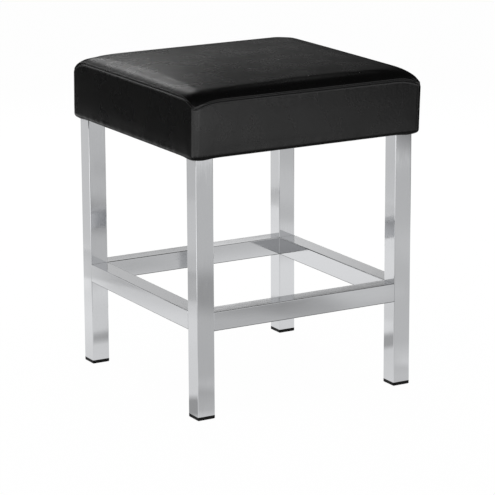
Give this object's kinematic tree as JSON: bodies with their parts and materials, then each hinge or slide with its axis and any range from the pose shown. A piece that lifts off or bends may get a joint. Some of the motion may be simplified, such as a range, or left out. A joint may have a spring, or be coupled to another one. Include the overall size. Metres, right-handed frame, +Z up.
{
  "type": "bathroom stool",
  "caption": "Square backless stool with a boxed, crowned leatherette seat on a welded square-tube frame with low stretchers and flush foot caps, for sitting at a vanity.",
  "frame": {"origin": "on the floor, under the middle of the seat", "axes": "+Z up, front of the stool faces -Y, +X to the right as seen from the front"},
  "size_m": [0.3472, 0.3472, 0.4373],
  "materials": {
    "polished_steel": "polished",
    "fixing_steel": "satin",
    "foot_plastic": "matte",
    "plywood": "matte",
    "seat_foam": "matte",
    "leatherette": "satin",
    "dust_cloth": "matte"
  },
  "bodies": {
    "root": {"leg_front_left": "polished_steel", "leg_front_right": "polished_steel", "leg_rear_right": "polished_steel", "leg_rear_left": "polished_steel", "stretcher_front": "polished_steel", "stretcher_right": "polished_steel", "stretcher_rear": "polished_steel", "stretcher_left": "polished_steel", "corner_plate_front_left": "polished_steel", "corner_plate_front_right": "polished_steel", "corner_plate_rear_right": "polished_steel", "corner_plate_rear_left": "polished_steel", "foot_cap_front_left": "foot_plastic", "foot_cap_front_right": "foot_plastic", "foot_cap_rear_right": "foot_plastic", "foot_cap_rear_left": "foot_plastic", "seat_bolt_front_left_1": "fixing_steel", "seat_bolt_front_left_2": "fixing_steel", "seat_bolt_front_right_1": "fixing_steel", "seat_bolt_front_right_2": "fixing_steel", "seat_bolt_rear_right_1": "fixing_steel", "seat_bolt_rear_right_2": "fixing_steel", "seat_bolt_rear_left_1": "fixing_steel", "seat_bolt_rear_left_2": "fixing_steel", "tee_nut_front_left_1": "fixing_steel", "tee_nut_front_left_2": "fixing_steel", "tee_nut_front_right_1": "fixing_steel", "tee_nut_front_right_2": "fixing_steel", "tee_nut_rear_right_1": "fixing_steel", "tee_nut_rear_right_2": "fixing_steel", "tee_nut_rear_left_1": "fixing_steel", "tee_nut_rear_left_2": "fixing_steel", "seat_board": "plywood", "foam_pad": "seat_foam", "cover_top_panel": "leatherette", "cover_band_front": "leatherette", "cover_band_right": "leatherette", "cover_band_rear": "leatherette", "cover_band_left": "leatherette", "dust_cover": "dust_cloth"}
  },
  "joints": []
}
